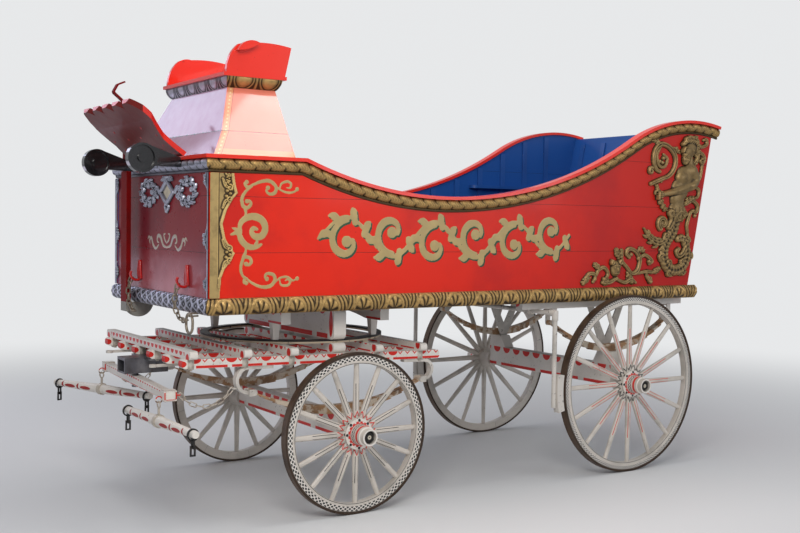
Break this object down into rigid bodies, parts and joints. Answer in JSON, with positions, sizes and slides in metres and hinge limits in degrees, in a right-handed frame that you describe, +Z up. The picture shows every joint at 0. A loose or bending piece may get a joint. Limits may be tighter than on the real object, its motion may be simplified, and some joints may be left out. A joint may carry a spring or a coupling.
{
  "type": "horse-drawn parade wagon",
  "caption": "Open parade wagon with swept-up sides, gilt mouldings, a raised driver's seat and footboard, spoked wheels and a turntable front gear with draft bars.",
  "frame": {"origin": "on the ground under the middle of the wagon's length and width", "axes": "+X forwards, +Y to the wagon's left, +Z up"},
  "size_m": [4.232, 2.0525, 2.6459],
  "materials": {
    "red_paint": "gloss enamel on boards",
    "floor_board": "blue painted boards",
    "gilding": "aged gold paint on carved wood",
    "iron": "dark painted iron",
    "spring_steel": "worn paint on steel leaves",
    "white_wood": "worn white paint with red striping",
    "tyre_iron": "bare brown iron"
  },
  "bodies": {
    "wagon": {"left_side": "red_paint", "right_side": "red_paint", "front_wall": "red_paint", "back_wall": "red_paint", "floor": "floor_board", "bulkhead": "red_paint", "cap_rail": "red_paint", "side_top_rolls": "gilding", "side_sill_rolls": "gilding", "front_rolls": "gilding", "corner_strips": "gilding", "inner_battens": "floor_board", "seat_riser": "red_paint", "seat_moulding": "gilding", "seat_board": "red_paint", "seat_arms": "red_paint", "seat_back": "red_paint", "footboard": "red_paint", "footboard_brackets": "gilding", "front_chains": "iron", "brake_lever": "red_paint", "brake_shaft": "iron", "hanger_irons": "iron", "rear_axle": "white_wood", "rear_springs": "spring_steel", "axle_guides": "iron", "upper_ring": "iron", "floor_beams": "white_wood", "upper_bolster": "white_wood", "front_cartouche": "gilding", "side_carvings": "gilding", "brake_pedal": "red_paint"},
    "front_gear": {"lower_ring": "iron", "long_bars": "white_wood", "cross_bars": "white_wood", "lower_bolster": "white_wood", "front_axle": "white_wood", "front_springs": "spring_steel", "scroll_irons": "white_wood", "pole_socket": "iron", "stay_chains": "iron", "eye_rods": "iron"},
    "evener": {"evener": "white_wood", "evener_clips": "iron"},
    "left_singletree": {"left_singletree": "white_wood", "left_tree_irons": "iron"},
    "right_singletree": {"right_singletree": "white_wood", "right_tree_irons": "iron"},
    "front_left_wheel": {"front_left_tyre": "tyre_iron", "front_left_wheel": "white_wood"},
    "front_right_wheel": {"front_right_tyre": "tyre_iron", "front_right_wheel": "white_wood"},
    "rear_left_wheel": {"rear_left_tyre": "tyre_iron", "rear_left_wheel": "white_wood"},
    "rear_right_wheel": {"rear_right_tyre": "tyre_iron", "rear_right_wheel": "white_wood"}
  },
  "joints": [
    {"name": "steering", "type": "hinge", "parent": "wagon", "child": "front_gear", "pos_m": [0.922, 0, 0.95], "axis": [0, 0, 1], "range_deg": [-75, 75]},
    {"name": "evener_swing", "type": "hinge", "parent": "front_gear", "child": "evener", "pos_m": [1.92, 0, 0.726], "axis": [0, 0, 1], "range_deg": [-0.8, 9.2], "deforming": ["stay_chains"]},
    {"name": "left_tree_swing", "type": "hinge", "parent": "evener", "child": "left_singletree", "pos_m": [2.01181, 0.59487, 0.66], "axis": [0, 0, 1], "range_deg": [-37.3, 22.7]},
    {"name": "right_tree_swing", "type": "hinge", "parent": "evener", "child": "right_singletree", "pos_m": [1.92393, -0.6019, 0.66], "axis": [0, 0, 1], "range_deg": [-56.1, 3.9]},
    {"name": "front_left_spin", "type": "hinge", "parent": "front_gear", "child": "front_left_wheel", "pos_m": [0.922, 0.789, 0.457], "axis": [0, 1, 0], "continuous": true},
    {"name": "front_right_spin", "type": "hinge", "parent": "front_gear", "child": "front_right_wheel", "pos_m": [0.922, -0.789, 0.457], "axis": [0, 1, 0], "continuous": true},
    {"name": "rear_left_spin", "type": "hinge", "parent": "wagon", "child": "rear_left_wheel", "pos_m": [-1.21, 0.789, 0.592], "axis": [0, 1, 0], "continuous": true},
    {"name": "rear_right_spin", "type": "hinge", "parent": "wagon", "child": "rear_right_wheel", "pos_m": [-1.21, -0.789, 0.592], "axis": [0, 1, 0], "continuous": true}
  ]
}
